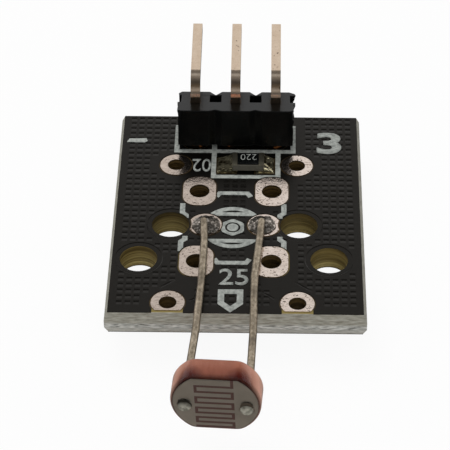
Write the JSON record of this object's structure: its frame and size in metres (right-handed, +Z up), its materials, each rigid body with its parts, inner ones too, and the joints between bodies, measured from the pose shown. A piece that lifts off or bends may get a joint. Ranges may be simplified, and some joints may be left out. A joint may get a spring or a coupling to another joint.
{
  "type": "light sensor module",
  "caption": "Small black circuit board with a photoresistor on long bent leads, a chip resistor and a header with pins bent back over the rear edge.",
  "frame": {"origin": "midway between the two mounting holes, on the board's underside", "axes": "+X across the board to the right, +Y from the sensor towards the header, +Z up out of the printed face"},
  "size_m": [0.0154, 0.0307, 0.0077],
  "materials": {
    "glass_laminate": "matte",
    "black_mask": "satin",
    "tinned_copper": "satin",
    "pale_ink": "matte",
    "black_moulding": "satin",
    "plated_brass": "satin",
    "solder": "satin",
    "white_alumina": "matte",
    "black_glaze": "gloss",
    "tinned_terminal": "satin",
    "pink_ceramic": "matte",
    "sulphide_film": "matte",
    "grey_electrode": "satin",
    "clear_resin": "gloss",
    "tinned_wire": "satin",
    "grey_paint_dot": "satin"
  },
  "bodies": {
    "root": {"board_core": "glass_laminate", "solder_mask_top": "black_mask", "solder_mask_bottom": "black_mask", "switch_pads": "tinned_copper", "corner_pads": "tinned_copper", "sensor_pads": "tinned_copper", "header_pads": "tinned_copper", "resistor_lands": "tinned_copper", "part_legend": "pale_ink", "button_legend": "pale_ink", "header_housing": "black_moulding", "header_pin_left": "plated_brass", "header_pin_middle": "plated_brass", "header_pin_right": "plated_brass", "header_solder": "solder", "resistor_body": "white_alumina", "resistor_glaze": "black_glaze", "resistor_terminal_left": "tinned_terminal", "resistor_terminal_right": "tinned_terminal", "resistor_solder_left": "solder", "resistor_solder_right": "solder", "sensor_ceramic": "pink_ceramic", "sensor_track": "sulphide_film", "sensor_electrode_left": "grey_electrode", "sensor_electrode_right": "grey_electrode", "sensor_resin": "clear_resin", "sensor_lead_left": "tinned_wire", "sensor_lead_right": "tinned_wire", "sensor_lead_dot_left": "grey_paint_dot", "sensor_lead_dot_right": "grey_paint_dot", "sensor_solder_left": "solder", "sensor_solder_right": "solder"}
  },
  "joints": []
}
